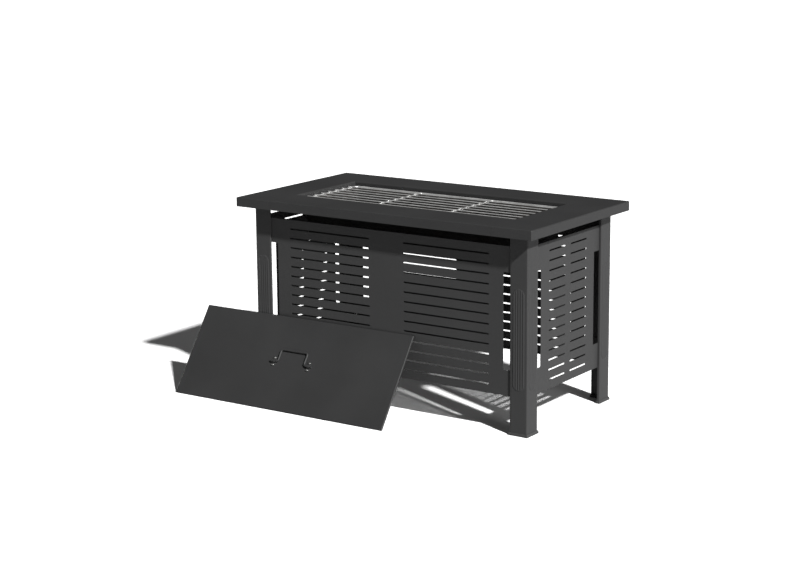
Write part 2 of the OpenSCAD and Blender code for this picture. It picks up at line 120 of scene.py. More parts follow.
def aim(obj, direction):
    obj.rotation_mode = "QUATERNION"
    obj.rotation_quaternion = direction.to_track_quat("-Z", "Y")


def add_panel_light(name, spot, size, power):
    """Large soft light that stands low beside the object and isn't seen itself."""
    data = bpy.data.lights.new(name, "AREA")
    data.shape = "ELLIPSE"
    data.size, data.size_y = size
    data.energy = power
    lamp = bpy.data.objects.new(name, data)
    lamp.location = TABLE + spot
    lamp.visible_camera = False
    aim(lamp, LIGHT_AIM - spot)
    scene.collection.objects.link(lamp)


def add_light():
    data = bpy.data.lights.new("sun", "SUN")
    data.energy = SUN_POWER
    data.angle = SUN_SIZE
    sun = bpy.data.objects.new("sun", data)
    sun.location = TABLE - SUN_DIR * SUN_AWAY
    aim(sun, SUN_DIR)
    scene.collection.objects.link(sun)

    add_panel_light("fill", FILL_SPOT, FILL_SIZE, FILL_POWER)
    add_panel_light("left_fill", LEFT_SPOT, LEFT_SIZE, LEFT_POWER)
    add_panel_light("back_fill", BACK_SPOT, BACK_SIZE, BACK_POWER)

    world = bpy.data.worlds.new("studio")
    world.use_nodes = True
    tree = world.node_tree
    soft = tree.nodes["Background"]
    soft.inputs["Color"].default_value = WHITE
    soft.inputs["Strength"].default_value = SKY
    seen = tree.nodes.new("ShaderNodeBackground")
    seen.inputs["Strength"].default_value = BACKDROP
    seen.inputs["Color"].default_value = WHITE
    path = tree.nodes.new("ShaderNodeLightPath")
    mix = tree.nodes.new("ShaderNodeMixShader")
    tree.links.new(path.outputs["Is Camera Ray"], mix.inputs["Fac"])
    tree.links.new(soft.outputs[0], mix.inputs[1])
    tree.links.new(seen.outputs[0], mix.inputs[2])
    tree.links.new(mix.outputs[0], tree.nodes["World Output"].inputs["Surface"])
    scene.world = world


def new_material(name):
    mat = bpy.data.materials.new(name)
    mat.use_nodes = True
    tree = mat.node_tree
    return mat, tree, tree.nodes["Principled BSDF"]


def add_floor():
    half = FLOOR_HALF
    corners = [(-half, -half, 0), (half, -half, 0), (half, half, 0), (-half, half, 0)]
    mesh = bpy.data.meshes.new("floor")
    mesh.from_pydata(corners, [], [(0, 1, 2, 3)])
    floor = bpy.data.objects.new("floor", mesh)
    scene.collection.objects.link(floor)
    mat, tree, shader = new_material("floor")
    path = tree.nodes.new("ShaderNodeLightPath")
    tone = tree.nodes.new("ShaderNodeMapRange")
    tone.inputs["To Min"].default_value = FLOOR_BOUNCE
    tone.inputs["To Max"].default_value = FLOOR_SEEN
    tree.links.new(path.outputs["Is Camera Ray"], tone.inputs["Value"])
    tree.links.new(tone.outputs["Result"], shader.inputs["Base Color"])
    shader.inputs["Roughness"].default_value = 0.9
    # Seen from below, the floor lets the view through to the object's underside
    side = tree.nodes.new("ShaderNodeNewGeometry")
    clear = tree.nodes.new("ShaderNodeBsdfTransparent")
    either = tree.nodes.new("ShaderNodeMixShader")
    tree.links.new(side.outputs["Backfacing"], either.inputs["Fac"])
    tree.links.new(shader.outputs[0], either.inputs[1])
    tree.links.new(clear.outputs[0], either.inputs[2])
    tree.links.new(either.outputs[0], tree.nodes["Material Output"].inputs["Surface"])
    mesh.materials.append(mat)


add_light()
add_floor()

# ---- material nodes --------------------------------------------------------------


def object_point(tree):
    return tree.nodes.new("ShaderNodeTexCoord").outputs["Object"]


def stretched(tree, point, scale):
    n = tree.nodes.new("ShaderNodeMapping")
    n.inputs["Scale"].default_value = scale
    tree.links.new(point, n.inputs["Vector"])
    return n.outputs["Vector"]


def noise(tree, point, scale, detail, rough=0.5):
    """Cloudy value around 0.5; scale is in waves per metre."""
    n = tree.nodes.new("ShaderNodeTexNoise")
    n.inputs["Scale"].default_value = scale
    n.inputs["Detail"].default_value = detail
    n.inputs["Roughness"].default_value = rough
    tree.links.new(point, n.inputs["Vector"])
    return n.outputs["Fac"]


def cells(tree, point, scale):
    n = tree.nodes.new("ShaderNodeTexVoronoi")
    n.inputs["Scale"].default_value = scale
    tree.links.new(point, n.inputs["Vector"])
    return n.outputs["Color"]


def ramp(tree, value, stops):
    """Colour from a value, through stops of (value, colour)."""
    n = tree.nodes.new("ShaderNodeValToRGB")
    el = n.color_ramp.elements
    while len(el) < len(stops):
        el.new(0.5)
    for e, (pos, col) in zip(el, stops):
        e.position = pos
        e.color = (*col, 1)
    tree.links.new(value, n.inputs["Fac"])
    return n.outputs["Color"]


def grey(value):
    return (value, value, value)


def span(tree, value, low, high, start, end):
    """Turns start..end of a value into low..high."""
    n = tree.nodes.new("ShaderNodeMapRange")
    n.inputs["From Min"].default_value = start
    n.inputs["From Max"].default_value = end
    n.inputs["To Min"].default_value = low
    n.inputs["To Max"].default_value = high
    tree.links.new(value, n.inputs["Value"])
    return n.outputs["Result"]


def blend_colors(tree, factor, first, second):
    """Mix of two colours; factor is a number or another node's value."""
    n = tree.nodes.new("ShaderNodeMix")
    n.data_type = "RGBA"
    if isinstance(factor, float):
        n.inputs["Factor"].default_value = factor
    else:
        tree.links.new(factor, n.inputs["Factor"])
    tree.links.new(first, n.inputs["A"])
    tree.links.new(second, n.inputs["B"])
    return n.outputs["Result"]


def bump(tree, height, depth, strength, under=None):
    """Normal from a height; under is the normal of a finer bump below this one."""
    n = tree.nodes.new("ShaderNodeBump")
    n.inputs["Strength"].default_value = strength
    n.inputs["Distance"].default_value = depth
    tree.links.new(height, n.inputs["Height"])
    if under is not None:
        tree.links.new(under, n.inputs["Normal"])
    return n.outputs["Normal"]


# ---- materials -------------------------------------------------------------------

# A noise's values lie mostly between these two
LOW, HIGH = 0.3, 0.7
COAT_BLUE = 1.01
FLECK_SHARE = 0.25


def powder_coat(name, tone):
    """Satin charcoal powder coat: orange peel, a fine grain and faint cloudy dust."""
    mat, tree, shader = new_material(name)
    p = object_point(tree)
    cloud = noise(tree, p, scale=5, detail=4)
    speck = noise(tree, p, scale=1400, detail=1)
    peel = noise(tree, p, scale=380, detail=2)
    low, high = 0.93 * tone, 1.07 * tone
    body = ramp(tree, cloud, [(LOW, (low, low, low * COAT_BLUE)),
                              (HIGH, (high, high, high * COAT_BLUE))])
    fleck = ramp(tree, speck, [(0.35, grey(0.8 * tone)), (0.65, grey(1.25 * tone))])
    color = blend_colors(tree, FLECK_SHARE, body, fleck)
    tree.links.new(color, shader.inputs["Base Color"])
    tree.links.new(span(tree, cloud, 0.44, 0.58, LOW, HIGH), shader.inputs["Roughness"])
    fine = bump(tree, speck, depth=0.06 * MM, strength=0.5)
    peeled = bump(tree, peel, depth=0.2 * MM, strength=0.6, under=fine)
    tree.links.new(peeled, shader.inputs["Normal"])
    shader.inputs["Specular IOR Level"].default_value = 0.14
    return mat


def foot_plastic():
    """Matt charcoal plastic with a moulded grain."""
    mat, tree, shader = new_material("foot_plastic")
    p = object_point(tree)
    grain = noise(tree, p, scale=1500, detail=3)
    scuff = noise(tree, stretched(tree, p, (90, 90, 400)), scale=1, detail=4, rough=0.6)
    color = ramp(tree, scuff, [(0.35, grey(0.018)), (0.62, grey(0.023)), (0.75, grey(0.034))])
    tree.links.new(color, shader.inputs["Base Color"])
    tree.links.new(span(tree, scuff, 0.5, 0.72, LOW, HIGH), shader.inputs["Roughness"])
    grained = bump(tree, grain, depth=0.1 * MM, strength=0.4)
    tree.links.new(grained, shader.inputs["Normal"])
    shader.inputs["Specular IOR Level"].default_value = 0.25
    return mat


def heat_paint():
    """Matt black heat-resistant paint, greyed by ash and browned in patches by the fire."""
    mat, tree, shader = new_material("heat_paint")
    p = object_point(tree)
    soot = noise(tree, p, scale=14, detail=6, rough=0.6)
    ash = noise(tree, p, scale=160, detail=5, rough=0.65)
    dark = ramp(tree, soot, [(0.3, grey(0.006)), (0.55, (0.0105, 0.0095, 0.0085)),
                             (0.75, (0.022, 0.0165, 0.0125))])
    pale = ramp(tree, ash, [(0.4, grey(0.008)), (0.75, (0.04, 0.0385, 0.0365))])
    patch = span(tree, noise(tree, p, scale=5, detail=3), 0.05, 0.55, 0.4, 0.7)
    tree.links.new(blend_colors(tree, patch, dark, pale), shader.inputs["Base Color"])
    tree.links.new(span(tree, soot, 0.7, 0.92, LOW, HIGH), shader.inputs["Roughness"])
    flaked = bump(tree, ash, depth=0.3 * MM, strength=0.45)
    tree.links.new(flaked, shader.inputs["Normal"])
    shader.inputs["Specular IOR Level"].default_value = 0.2
    return mat


def plated(name, tone, tint, smooth, rough, grain_scale, metal):
    """Plated steel: soft clouding of the plating, fine drawn grain and a faint stain."""
    mat, tree, shader = new_material(name)
    p = object_point(tree)
    cloud = noise(tree, p, scale=30, detail=4)
    grain = noise(tree, p, scale=grain_scale, detail=2)
    stain = noise(tree, p, scale=9, detail=5, rough=0.6)
    clean = ramp(tree, cloud, [(LOW, tuple(0.86 * c for c in tone)), (HIGH, tone)])
    worn = ramp(tree, grain, [(LOW, tuple(0.75 * c for c in tint)), (HIGH, tint)])
    share = span(tree, stain, 0.0, 0.6, 0.55, 0.75)
    tree.links.new(blend_colors(tree, share, clean, worn), shader.inputs["Base Color"])
    tree.links.new(span(tree, cloud, smooth, rough, LOW, HIGH), shader.inputs["Roughness"])
    drawn = bump(tree, grain, depth=0.03 * MM, strength=0.35)
    tree.links.new(drawn, shader.inputs["Normal"])
    shader.inputs["Metallic"].default_value = metal
    return mat


def zinc_plate():
    """Zinc-plated steel with a faint spangle."""
    mat, tree, shader = new_material("plain_steel")
    p = object_point(tree)
    spangle = cells(tree, p, scale=700)
    bw = tree.nodes.new("ShaderNodeRGBToBW")
    tree.links.new(spangle, bw.inputs["Color"])
    cloud = noise(tree, p, scale=60, detail=4)
    bright = ramp(tree, bw.outputs["Val"], [(0.2, (0.42, 0.43, 0.44)),
                                            (0.8, (0.56, 0.57, 0.58))])
    dull = ramp(tree, cloud, [(LOW, grey(0.3)), (HIGH, (0.42, 0.41, 0.39))])
    share = span(tree, cloud, 0.1, 0.7, 0.35, 0.7)
    tree.links.new(blend_colors(tree, share, bright, dull), shader.inputs["Base Color"])
    tree.links.new(span(tree, cloud, 0.32, 0.55, LOW, HIGH), shader.inputs["Roughness"])
    shader.inputs["Metallic"].default_value = 1.0
    return mat


# Painted shade: the tabletop, the lid, its handle and its clips take a darker copy of the coat, to offset the
# stronger light on their upward faces
SHADED_TOP_TONE = 0.0157
COAT_TONE = 0.0196
LOOKS = {
    "powder_coat": powder_coat("powder_coat", COAT_TONE),
    "foot_plastic": foot_plastic(),
    "heat_paint": heat_paint(),
    "bright_wire": plated("bright_wire", tone=(0.66, 0.66, 0.65), tint=(0.5, 0.47, 0.42),
                          smooth=0.36, rough=0.48, grain_scale=900, metal=0.84),
    "bright_screw": plated("bright_screw", tone=(0.16, 0.16, 0.155), tint=(0.11, 0.105, 0.1),
                           smooth=0.42, rough=0.56, grain_scale=1400, metal=1.0),
    "plain_steel": zinc_plate(),
}
# Painted shade: a darker copy of the same coat, for faces that the light from above reaches more
SHADED_TOP_COAT = powder_coat("powder_coat_top_painted_shade", SHADED_TOP_TONE)
SLOT_OF = {s["node"]: s["material_slot"] for s in frame["record"]["subparts"]}

# ---- mesh helpers ----------------------------------------------------------------

# Rings of a wire's domed end, as shares of its width, and how flat the dome is
DOME_STEPS = (0.35, 0.7, 0.92)
DOME_FLAT = 0.6
MERGE = 1e-6


def finish_piece(name, bm, body, replaced, slot, soft_angle=35, look=None):
    """Turns a bmesh into a piece that rides on a body and stands for CAD nodes."""
    bmesh.ops.recalc_face_normals(bm, faces=bm.faces)
    for face in bm.faces:
        face.smooth = True
    limit = math.radians(soft_angle)
    for edge in bm.edges:
        edge.smooth = len(edge.link_faces) == 2 and edge.calc_face_angle() < limit
    mesh = bpy.data.meshes.new(name)
    bm.to_mesh(mesh)
    bm.free()
    mesh.materials.append(look or LOOKS[slot])
    piece = bpy.data.objects.new(name, mesh)
    scene.collection.objects.link(piece)
    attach(piece, body)
    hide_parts(*replaced)


def skin(bm, loops, capped=True):
    """Quads between closed loops of points, with a flat face on each end if capped."""
    rings = [[bm.verts.new(p) for p in loop] for loop in loops]
    for a, b in zip(rings, rings[1:]):
        join_rings(bm, a, b)
    if capped:
        bm.faces.new(list(reversed(rings[0])))
        bm.faces.new(rings[-1])
    return rings


def join_rings(bm, a, b):
    """Quads between two rings of as many vertices."""
    for i in range(len(a)):
        j = (i + 1) % len(a)
        bm.faces.new((a[i], a[j], b[j], b[i]))


def around(mid, across, up, radius, sides):
    """Points of a circle in the plane of two unit vectors."""
    turns = (2 * math.pi * k / sides for k in range(sides))
    return [mid + (across * math.cos(w) + up * math.sin(w)) * radius for w in turns]


def tube(bm, path, radius, sides=18, closed=False):
    """Round wire along a path of points; an open wire gets domed ends."""
    pts = [Vector(p) for p in path]
    n = len(pts)
    frames = []
    normal = None
    for i, p in enumerate(pts):
        if closed:
            t = (pts[(i + 1) % n] - pts[i - 1]).normalized()
        else:
            t = (pts[min(i + 1, n - 1)] - pts[max(i - 1, 0)]).normalized()
        if normal is None:
            side = Vector((0, 0, 1)) if abs(t.z) < 0.9 else Vector((1, 0, 0))
            normal = (side - t * side.dot(t)).normalized()
        else:
            normal = (normal - t * normal.dot(t)).normalized()
        frames.append((p, t, normal, t.cross(normal)))
    if closed:
        rings = skin(bm, [around(p, a, b, radius, sides) for p, t, a, b in frames],
                     capped=False)
        join_rings(bm, rings[-1], rings[0])
        return

    # How far in from the end, and how wide, each ring of a dome is
    dome = []
    for step in DOME_STEPS:
        width = math.sqrt(1 - (1 - step) ** 2)
        dome.append((radius * (1 - width) * DOME_FLAT, radius * width))
    p, t, a, b = frames[0]
    loops = [around(p + t * into, a, b, r, sides) for into, r in dome]
    frames[0] = (p + t * radius * DOME_FLAT, t, a, b)
    loops += [around(q, c, d, radius, sides) for q, _, c, d in frames[:-1]]
    p, t, a, b = frames[-1]
    loops.append(around(p - t * radius * DOME_FLAT, a, b, radius, sides))
    loops += [around(p - t * into, a, b, r, sides) for into, r in reversed(dome)]
    skin(bm, loops)


def arc(center, radius, start, end, steps, plane="xy"):
    """Points on an arc, angles in degrees."""
    out = []
    for i in range(steps + 1):
        w = math.radians(start + (end - start) * i / steps)
        a, b = radius * math.cos(w), radius * math.sin(w)
        out.append(Vector(center) + (Vector((a, b, 0)) if plane == "xy" else Vector((0, a, b))))
    return out


def rounded_loop(half_x, half_y, radius, z, steps=8, center=(0, 0)):
    """Rectangle with round corners at height z, counter-clockwise."""
    cx, cy = center
    out = []
    for sx, sy, start in ((1, 1, 0), (-1, 1, 90), (-1, -1, 180), (1, -1, 270)):
        mid = (cx + sx * (half_x - radius), cy + sy * (half_y - radius), z)
        out += arc(mid, radius, start, start + 90, steps)
    return out


def islands(node, frame_matrix=None):
    """Boxes of the separate solids in a CAD node, in the row frame or in another frame."""
    bm = bmesh.new()
    bm.from_mesh(nodes[node].data)
    bmesh.ops.remove_doubles(bm, verts=bm.verts, dist=MERGE)
    turn = frame_matrix.inverted() if frame_matrix else Matrix.Identity(4)
    seen, boxes = set(), []
    for seed in bm.verts:
        if seed in seen:
            continue
        seen.add(seed)
        stack, group = [seed], []
        while stack:
            v = stack.pop()
            group.append(turn @ v.co)
            for e in v.link_edges:
                w = e.other_vert(v)
                if w not in seen:
                    seen.add(w)
                    stack.append(w)
        boxes.append((Vector([min(p[k] for p in group) for k in range(3)]),
                      Vector([max(p[k] for p in group) for k in range(3)])))
    bm.free()
    return boxes


def smooth_step(value, start, end):
    t = min(1.0, max(0.0, (value - start) / (end - start)))
    return t * t * (3 - 2 * t)


# ---- legs ------------------------------------------------------------------------

LEG_W = 59 * MM
LEG_SHEET = 2 * MM
LEG_LIP = 4.5 * MM
END_LIP = 8 * MM
LEG_R = 3 * MM
LIP_R = 2.4 * MM
FIELD_LOW, FIELD_H, FIELD_R = 135 * MM, 302 * MM, 20 * MM
FIELD_RISE, FIELD_WALL = 0.7 * MM, 0.9 * MM
RIB_RISE, RIB_PITCH = 0.8 * MM, 8 * MM
RIB_FLANK = (1.2 * MM, 3.2 * MM)
RIB_FADE = (1.0 * MM, 3.4 * MM)
# The flat part of a flange that the field's fine mesh covers, each side of its middle
FIELD_SPAN = FIELD_R + 0.6 * MM
FIELD_CELLS = 72
# Cross-sections: at a leg's ends, and one every RING_STEP past the field's curved ends
END_RINGS = (0.0, 0.3 * MM, 1.2 * MM)
END_INSET = 0.25 * MM
RING_STEP = 0.6 * MM
CURVE_BEFORE, CURVE_INSIDE, CURVE_PAST = 1 * MM, 2 * MM, 3 * MM
LIP_MID = 0.7
TAB_W = 41 * MM
TAB_R = 1.5 * MM
TAB_EDGE = 0.3 * MM
TAB_SINK = 0.2 * MM
TAB_DROP = 0.02 * MM
STUD_HOLE = 2.8 * MM
HOLE_SIDES = 24


def pressed_rise(across, z):
    """How far the ribbed field stands out at a place on a leg's flange."""
    mid = FIELD_LOW + FIELD_H / 2
    straight = FIELD_H / 2 - FIELD_R
    beyond = max(0.0, abs(z - mid) - straight)
    inside = FIELD_R - math.hypot(across, beyond)
    if inside <= 0:
        return 0.0
    plate = FIELD_RISE * smooth_step(inside, 0, FIELD_WALL)
    from_rib = abs((across / RIB_PITCH + 0.5) % 1.0 - 0.5) * RIB_PITCH
    crest = 1 - smooth_step(from_rib, *RIB_FLANK)
    return plate + RIB_RISE * crest * smooth_step(inside, *RIB_FADE)


def spread(start, end, count):
    """Values that divide start..end into equal steps, without the two ends."""
    return [start + (end - start) * k / count for k in range(1, count)]


def leg_heights(low, high):
    """Heights of a leg's cross-sections: close together where the field's ends curve."""
    count = int((FIELD_R + CURVE_PAST) / RING_STEP)
    curve = [RING_STEP * k for k in range(count + 1)]
    lower = FIELD_LOW - CURVE_BEFORE
    upper = FIELD_LOW + FIELD_H - FIELD_R - CURVE_INSIDE
    out = [low + d for d in END_RINGS]
    out += spread(low, lower, 4)
    out += [lower + d for d in curve]
    out += spread(out[-1], upper, 10)
    out += [upper + d for d in curve]
    out += spread(out[-1], high, 5)
    out += [high - d for d in reversed(END_RINGS)]
    return out


def quarter_bend(center, radius, start, steps):
    """Part of leg_profile: a quarter turn clockwise from an angle in degrees."""
    out = []
    for k in range(steps + 1):
        w = math.radians(start - 90 * k / steps)
        n = Vector((math.cos(w), math.sin(w)))
        out.append((Vector(center) + n * radius, n, None))
    return out


def leg_profile():
    """Outer line of the back right leg's section, from the leg's outer corner at (0, 0):
    point, outward normal and the place across a flange's pressed field, or None."""
    across = [FIELD_SPAN * (2 * k / FIELD_CELLS - 1) for k in range(FIELD_CELLS + 1)]
    mid = -LEG_W / 2
    out = [(Vector((-LEG_W, y)), Vector((-1, 0)), None) for y in (-LEG_LIP, -LEG_LIP * LIP_MID)]
    out += quarter_bend((-LEG_W + LIP_R, -LIP_R), LIP_R, 180, 4)
    out += [(Vector((mid + a, 0)), Vector((0, 1)), a) for a in across]
    out += quarter_bend((-LEG_R, -LEG_R), LEG_R, 90, 6)
    out += [(Vector((0, mid - a)), Vector((1, 0)), -a) for a in across]
    out += quarter_bend((-LIP_R, -LEG_W + LIP_R), LIP_R, 0, 4)
    out += [(Vector((x, -LEG_W)), Vector((0, -1)), None) for x in (-END_LIP * LIP_MID, -END_LIP)]
    return out


def plate_with_holes(bm, loop, holes, low, high, edge):
    """Flat plate of any outline with round holes, its long edges slightly rounded."""
    curve = bpy.data.curves.new("outline", "CURVE")
    curve.dimensions = "2D"
    curve.fill_mode = "BOTH"
    curve.extrude = (high - low) / 2 - edge
    curve.bevel_depth = edge
    curve.bevel_resolution = 1
    curve.offset = -edge
    rings = [loop]
    for (x, y), r in holes:
        rings.append(arc((x, y, 0), r, 360, 0, HOLE_SIDES)[:-1])
    for ring in rings:
        spline = curve.splines.new("POLY")
        spline.points.add(len(ring) - 1)
        for point, p in zip(spline.points, ring):
            point.co = (p[0], p[1], 0, 1)
        spline.use_cyclic_u = True
    holder = bpy.data.objects.new("outline", curve)
    scene.collection.objects.link(holder)
    bpy.context.view_layer.update()
    made = bpy.data.meshes.new_from_object(
        holder.evaluated_get(bpy.context.evaluated_depsgraph_get()))
    made.transform(Matrix.Translation((0, 0, (low + high) / 2)))
    part = bmesh.new()
    part.from_mesh(made)
    bmesh.ops.remove_doubles(part, verts=part.verts, dist=MERGE)
    part.to_mesh(made)
    part.free()
    bm.from_mesh(made)
    bpy.data.objects.remove(holder)
    bpy.data.curves.remove(curve)
    bpy.data.meshes.remove(made)


def build_leg(node, side_x, side_y):
    lo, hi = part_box(node)
    stands_out = FIELD_RISE + RIB_RISE
    corner_x = (hi.x if side_x > 0 else lo.x) - side_x * stands_out
    corner_y = (hi.y if side_y > 0 else lo.y) - side_y * stands_out
    bm = bmesh.new()
    profile = leg_profile()
    heights = leg_heights(lo.z, hi.z)
    last = len(heights) - 1
    loops = []
    for i, z in enumerate(heights):
        inset = END_INSET if i in (0, last) else 0.0
        outer, inner = [], []
        for p, n, a in profile:
            rise = pressed_rise(a, z) if a is not None else 0.0
            outer.append(p + n * (rise - inset))
            inner.append(p - n * (LEG_SHEET - inset))
        loop = outer + inner[::-1]
        loops.append([Vector((corner_x + side_x * q.x, corner_y + side_y * q.y, z))
                      for q in loop])
    rings = skin(bm, loops, capped=False)
    half = len(profile)
    for ring in (rings[0], rings[-1]):
        for k in range(half - 1):
            bm.faces.new((ring[k], ring[k + 1], ring[-k - 2], ring[-k - 1]))
    # The tab at the leg's top, which the tabletop's studs pass through
    x0, x1 = sorted((corner_x - side_x * (LEG_SHEET - TAB_SINK),
                     corner_x - side_x * (LEG_SHEET + TAB_W)))
    y0, y1 = sorted((corner_y - side_y * (LEG_SHEET - TAB_SINK),
                     corner_y - side_y * (LEG_SHEET + TAB_W)))
    outline = rounded_loop((x1 - x0) / 2, (y1 - y0) / 2, TAB_R, 0, 4,
                           ((x0 + x1) / 2, (y0 + y1) / 2))
    holes = []
    for s_lo, s_hi in STUDS:
        cx, cy = (s_lo.x + s_hi.x) / 2, (s_lo.y + s_hi.y) / 2
        if x0 < cx < x1 and y0 < cy < y1:
            holes.append(((cx, cy), STUD_HOLE))
    plate_with_holes(bm, outline, holes, hi.z - LEG_SHEET, hi.z - TAB_DROP, TAB_EDGE)
    finish_piece(node.replace("leg_", "pressed_leg_"), bm, "table", [node], "powder_coat", 50)


STUDS = islands("weld_studs")
for fb, sy in (("front", -1), ("back", 1)):
    for lr, sx in (("left", -1), ("right", 1)):
        build_leg(f"leg_{fb}_{lr}", sx, sy)

# ---- threads, nuts and screws ----------------------------------------------------

THREAD = 0.8 * MM
THREAD_DEPTH = 0.35 * MM
THREAD_SIDES = 20
THREAD_ROWS = 4
THREAD_RUNOUT = 0.8
ROD_SINK = 0.2 * MM
SCREW_HEAD_H = 3.5 * MM
PANEL_SCREW_R = 3 * MM
STUD_R = 2.5 * MM
SIZE_PLAY = 0.05 * MM

NUT_SIDES = 48
NUT_FACE = 0.95
NUT_TURNED = 0.985
NUT_CUT = 0.12
NUT_PLAY = 0.995
NUT_TURN = 0.35
BORE_EDGE = 0.3 * MM

# A cross-recess screw's head, as shares of its radius or of its height
HEAD_CELLS = 30
HEAD_RIM = 0.42
HEAD_CROWN = 3.2
CROSS_ARM = 0.62
CROSS_HALF_W = 0.13
CROSS_FLANK = 0.1
CROSS_END = 2.2
CROSS_DEPTH = 0.55
HEAD_WALL = 0.45
HEAD_EDGE = 0.12 * MM


def threaded_rod(bm, place, radius, low, high, pitch, depth):
    """Rod along local Z with a cut thread; place turns local points into the row frame."""
    sides = THREAD_SIDES
    count = max(2, int((high - low) / (pitch / THREAD_ROWS)))
    loops = []
    for i in range(count + 1):
        z = low + (high - low) * i / count
        near_end = min(z - low, high - z)
        loop = []
        for k in range(sides):
            w = 2 * math.pi * k / sides
            phase = (z / pitch - k / sides) % 1.0
            r = radius - depth * (1 - abs(2 * phase - 1))
            if near_end < depth:
                r = min(r, radius - depth + near_end * THREAD_RUNOUT)
            loop.append(place @ Vector((r * math.cos(w), r * math.sin(w), z)))
        loops.append(loop)
    skin(bm, loops)


def hex_nut(bm, place, corner_r, bore_r, low, high, turn=0.0):
    """Hexagon nut along local Z with turned chamfers and a bevelled bore."""
    sides = NUT_SIDES
    flat_r = corner_r * math.cos(math.pi / 6)
    face_r, turned_r, mouth_r = flat_r * NUT_FACE, corner_r * NUT_TURNED, bore_r + BORE_EDGE
    cut = NUT_CUT * (high - low)
    # Height, widest radius, and whether the ring is round or follows the hexagon
    rows = [(high - BORE_EDGE, bore_r, True), (high, mouth_r, True),
            (high, face_r, False), (high - cut, turned_r, False),
            (high - 2 * cut, corner_r, False), (low + 2 * cut, corner_r, False),
            (low + cut, turned_r, False), (low, face_r, False),
            (low, mouth_r, True), (low + BORE_EDGE, bore_r, True)]
    loops = []
    for z, limit, is_round in rows:
        loop = []
        for k in range(sides):
            w = 2 * math.pi * k / sides
            from_flat = (w - turn) % (math.pi / 3) - math.pi / 6
            r = limit if is_round else min(limit, flat_r / math.cos(from_flat))
            loop.append(place @ Vector((r * math.cos(w), r * math.sin(w), z)))
        loops.append(loop)
    rings = skin(bm, loops, capped=False)
    join_rings(bm, rings[-1], rings[0])


def screw_head(bm, place, radius, height, base):
    """Pan head with a cross recess; its seat is at local Z = base."""
    cells_side = HEAD_CELLS
    arm, width, flank = CROSS_ARM * radius, CROSS_HALF_W * radius, CROSS_FLANK * radius
    rim = height * HEAD_RIM
    grid = []
    for i in range(cells_side + 1):
        row = []
        for j in range(cells_side + 1):
            a, b = 2 * i / cells_side - 1, 2 * j / cells_side - 1
            x = a * math.sqrt(1 - b * b / 2) * radius
            y = b * math.sqrt(1 - a * a / 2) * radius
            d = min(1.0, math.hypot(x, y) / radius)
            z = rim + (height - rim) * (1 - d ** HEAD_CROWN)
            into = 0.0
            for u, v in ((abs(x), abs(y)), (abs(y), abs(x))):
                into = max(into, smooth_step(width + flank - v, 0, flank)
                           * smooth_step(arm + flank - u, 0, CROSS_END * flank))
            z -= into * height * CROSS_DEPTH
            row.append(bm.verts.new(place @ Vector((x, y, base + z))))
        grid.append(row)
    for i in range(cells_side):
        for j in range(cells_side):
            bm.faces.new((grid[i][j], grid[i + 1][j], grid[i + 1][j + 1], grid[i][j + 1]))
    edge = ([grid[i][0] for i in range(cells_side)]
            + [grid[cells_side][j] for j in range(cells_side)]
            + [grid[i][cells_side] for i in range(cells_side, 0, -1)]
            + [grid[0][j] for j in range(cells_side, 0, -1)])
    back = place.inverted()
    ring = edge
    for scale, z in ((1.0, rim * HEAD_WALL), (0.97, HEAD_EDGE), (0.94, 0.0)):
        nxt = []
        for v in edge:
            q = back @ v.co
            nxt.append(bm.verts.new(place @ Vector((q.x * scale, q.y * scale, base + z))))
        join_rings(bm, ring, nxt)
        ring = nxt
    bm.faces.new(list(reversed(ring)))


def pointing(origin, axis):
    """Matrix whose local Z runs along axis."""
    z = Vector(axis).normalized()
    turn = z.to_track_quat("Z", "Y").to_matrix().to_4x4()
    return Matrix.Translation(origin) @ turn


def build_studs():
    bm = bmesh.new()
    for lo, hi in STUDS:
        mid = (lo + hi) / 2
        radius = (hi.x - lo.x) / 2
        place = Matrix.Translation((mid.x, mid.y, 0))
        threaded_rod(bm, place, radius, lo.z, hi.z, THREAD, THREAD_DEPTH)
    finish_piece("threaded_studs", bm, "table", ["weld_studs"], "plain_steel", 80)


def build_nuts(name, node, bore_r, body, basis=None):
    """Nuts of a CAD node, whichever way each one points."""
    bm = bmesh.new()
    for i, (lo, hi) in enumerate(islands(node, basis)):
        size = hi - lo
        axis = min(range(3), key=lambda k: size[k])
        mid = (lo + hi) / 2
        origin = mid.copy()
        origin[axis] = lo[axis]
        along = Vector((0, 0, 0))
        along[axis] = 1
        place = pointing(origin, along)
        if basis:
            place = basis @ place
        corner = max(size[k] for k in range(3) if k != axis) / 2
        hex_nut(bm, place, corner * NUT_PLAY, bore_r, 0.0, size[axis], NUT_TURN * i)
    finish_piece(name, bm, body, [node], "plain_steel", 30)


def build_panel_screws():
    bm = bmesh.new()
    for lo, hi in islands("panel_screws"):
        size = hi - lo
        mid = (lo + hi) / 2
        axis = 0 if abs(size.y - size.z) < SIZE_PLAY else 1
        inward = -1 if mid[axis] > TABLE[axis] else 1
        head_r = size.z / 2
        seat = hi[axis] if inward > 0 else lo[axis]
        origin = mid.copy()
        origin[axis] = seat - inward * SCREW_HEAD_H
        along = Vector((0, 0, 0))
        along[axis] = inward
        place = pointing(origin, along)
        screw_head(bm, place, head_r, SCREW_HEAD_H, 0.0)
        threaded_rod(bm, place, PANEL_SCREW_R, -(size[axis] - SCREW_HEAD_H), ROD_SINK,
                     THREAD, THREAD_DEPTH)
    finish_piece("panel_screws_cross", bm, "table", ["panel_screws"], "plain_steel", 40)


build_studs()
build_nuts("stud_nuts_hex", "stud_nuts", STUD_R, "table")
build_nuts("leg_weld_nuts_hex", "leg_weld_nuts", PANEL_SCREW_R, "table")
build_panel_screws()

# ---- fire bowl -------------------------------------------------------------------

BOWL_SHEET = 1.5 * MM
BOWL_DRAFT = 4 * MM
BOWL_R = 14 * MM
FLANGE_R = 6 * MM
FLANGE_W = 12 * MM
BOTTOM_R = 9 * MM
RIM_BEND = 3 * MM
FLANGE_EDGE = 0.4 * MM
CORNER_GAIN = 0.3


